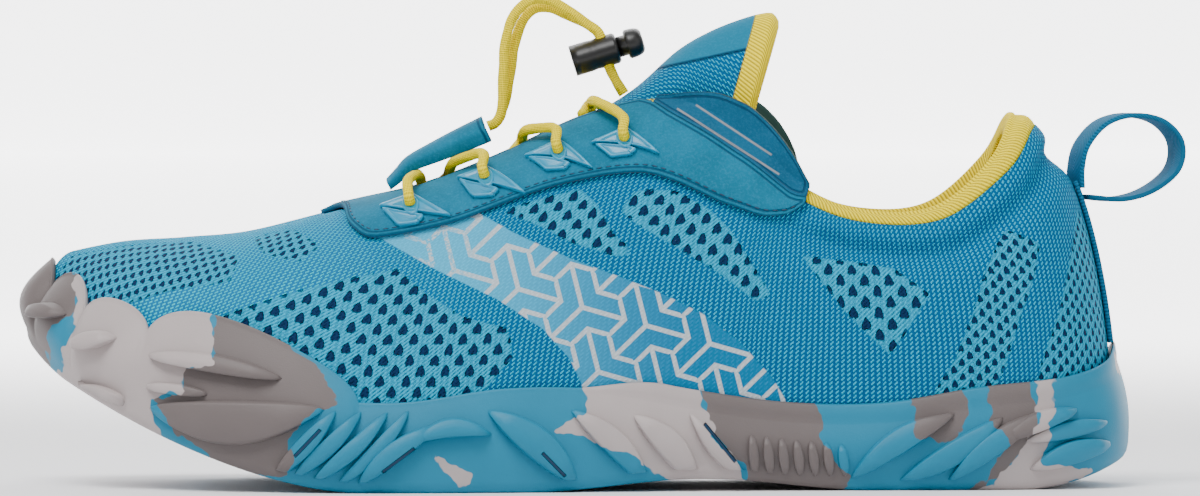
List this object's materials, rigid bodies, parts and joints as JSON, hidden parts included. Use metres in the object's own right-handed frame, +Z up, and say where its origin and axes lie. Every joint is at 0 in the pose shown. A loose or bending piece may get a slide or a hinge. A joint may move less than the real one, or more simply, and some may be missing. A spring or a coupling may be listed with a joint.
{
  "type": "barefoot shoe",
  "caption": "Left barefoot trail shoe with a hollow knit upper, toe-wrapping cup sole, elastic lace with a cord lock, and a heel pull loop.",
  "frame": {"origin": "on the ground under the heel, at the middle of the heel's flat", "axes": "+X towards the back of the heel (the toe points along -X), +Y towards the inner side of the foot, +Z up"},
  "size_m": [0.2906, 0.1035, 0.1217],
  "materials": {
    "sole_rubber": "matt moulded rubber marbled in sky blue, light grey and warm grey",
    "insole_foam": "yellow knit over thin foam",
    "knit_blue": "ribbed two-tone blue knit",
    "tongue_knit": "blue knit with a suede strip and a yellow lining",
    "suede_blue": "blue microfibre suede",
    "suede_dark": "darker blue microfibre suede with two silver lines",
    "plate_blue": "glossy moulded light-blue plastic",
    "lace_yellow": "braided yellow elastic cord",
    "lock_black": "satin black plastic",
    "webbing_blue": "blue woven tape",
    "lining_yellow": "yellow ribbed lining"
  },
  "bodies": {
    "shoe": {"outsole": "sole_rubber", "insole": "insole_foam", "upper": "knit_blue", "tongue": "tongue_knit", "eyestay": "suede_blue", "ankle_wing_lateral": "suede_dark", "ankle_wing_medial": "suede_dark", "eyelet_plate_lateral_1": "plate_blue", "eyelet_plate_lateral_2": "plate_blue", "eyelet_plate_lateral_3": "plate_blue", "eyelet_plate_lateral_4": "plate_blue", "eyelet_plate_medial_1": "plate_blue", "eyelet_plate_medial_2": "plate_blue", "eyelet_plate_medial_3": "plate_blue", "eyelet_plate_medial_4": "plate_blue", "lace_bar": "lace_yellow", "lace_cross_1": "lace_yellow", "lace_cross_2": "lace_yellow", "lace_cross_3": "lace_yellow", "lace_end_lateral": "lace_yellow", "lace_end_medial": "lace_yellow", "lock_barrel": "lock_black", "lace_keeper": "suede_blue", "heel_tape": "webbing_blue"},
    "button": {"lock_button": "lock_black"}
  },
  "joints": [
    {"name": "lock_press", "type": "slide", "parent": "shoe", "child": "button", "axis": [-0.9563, 0, -0.2924], "range_m": [0, 0.002], "stiffness_N_per_m": 800, "springref_m": -0.003}
  ]
}
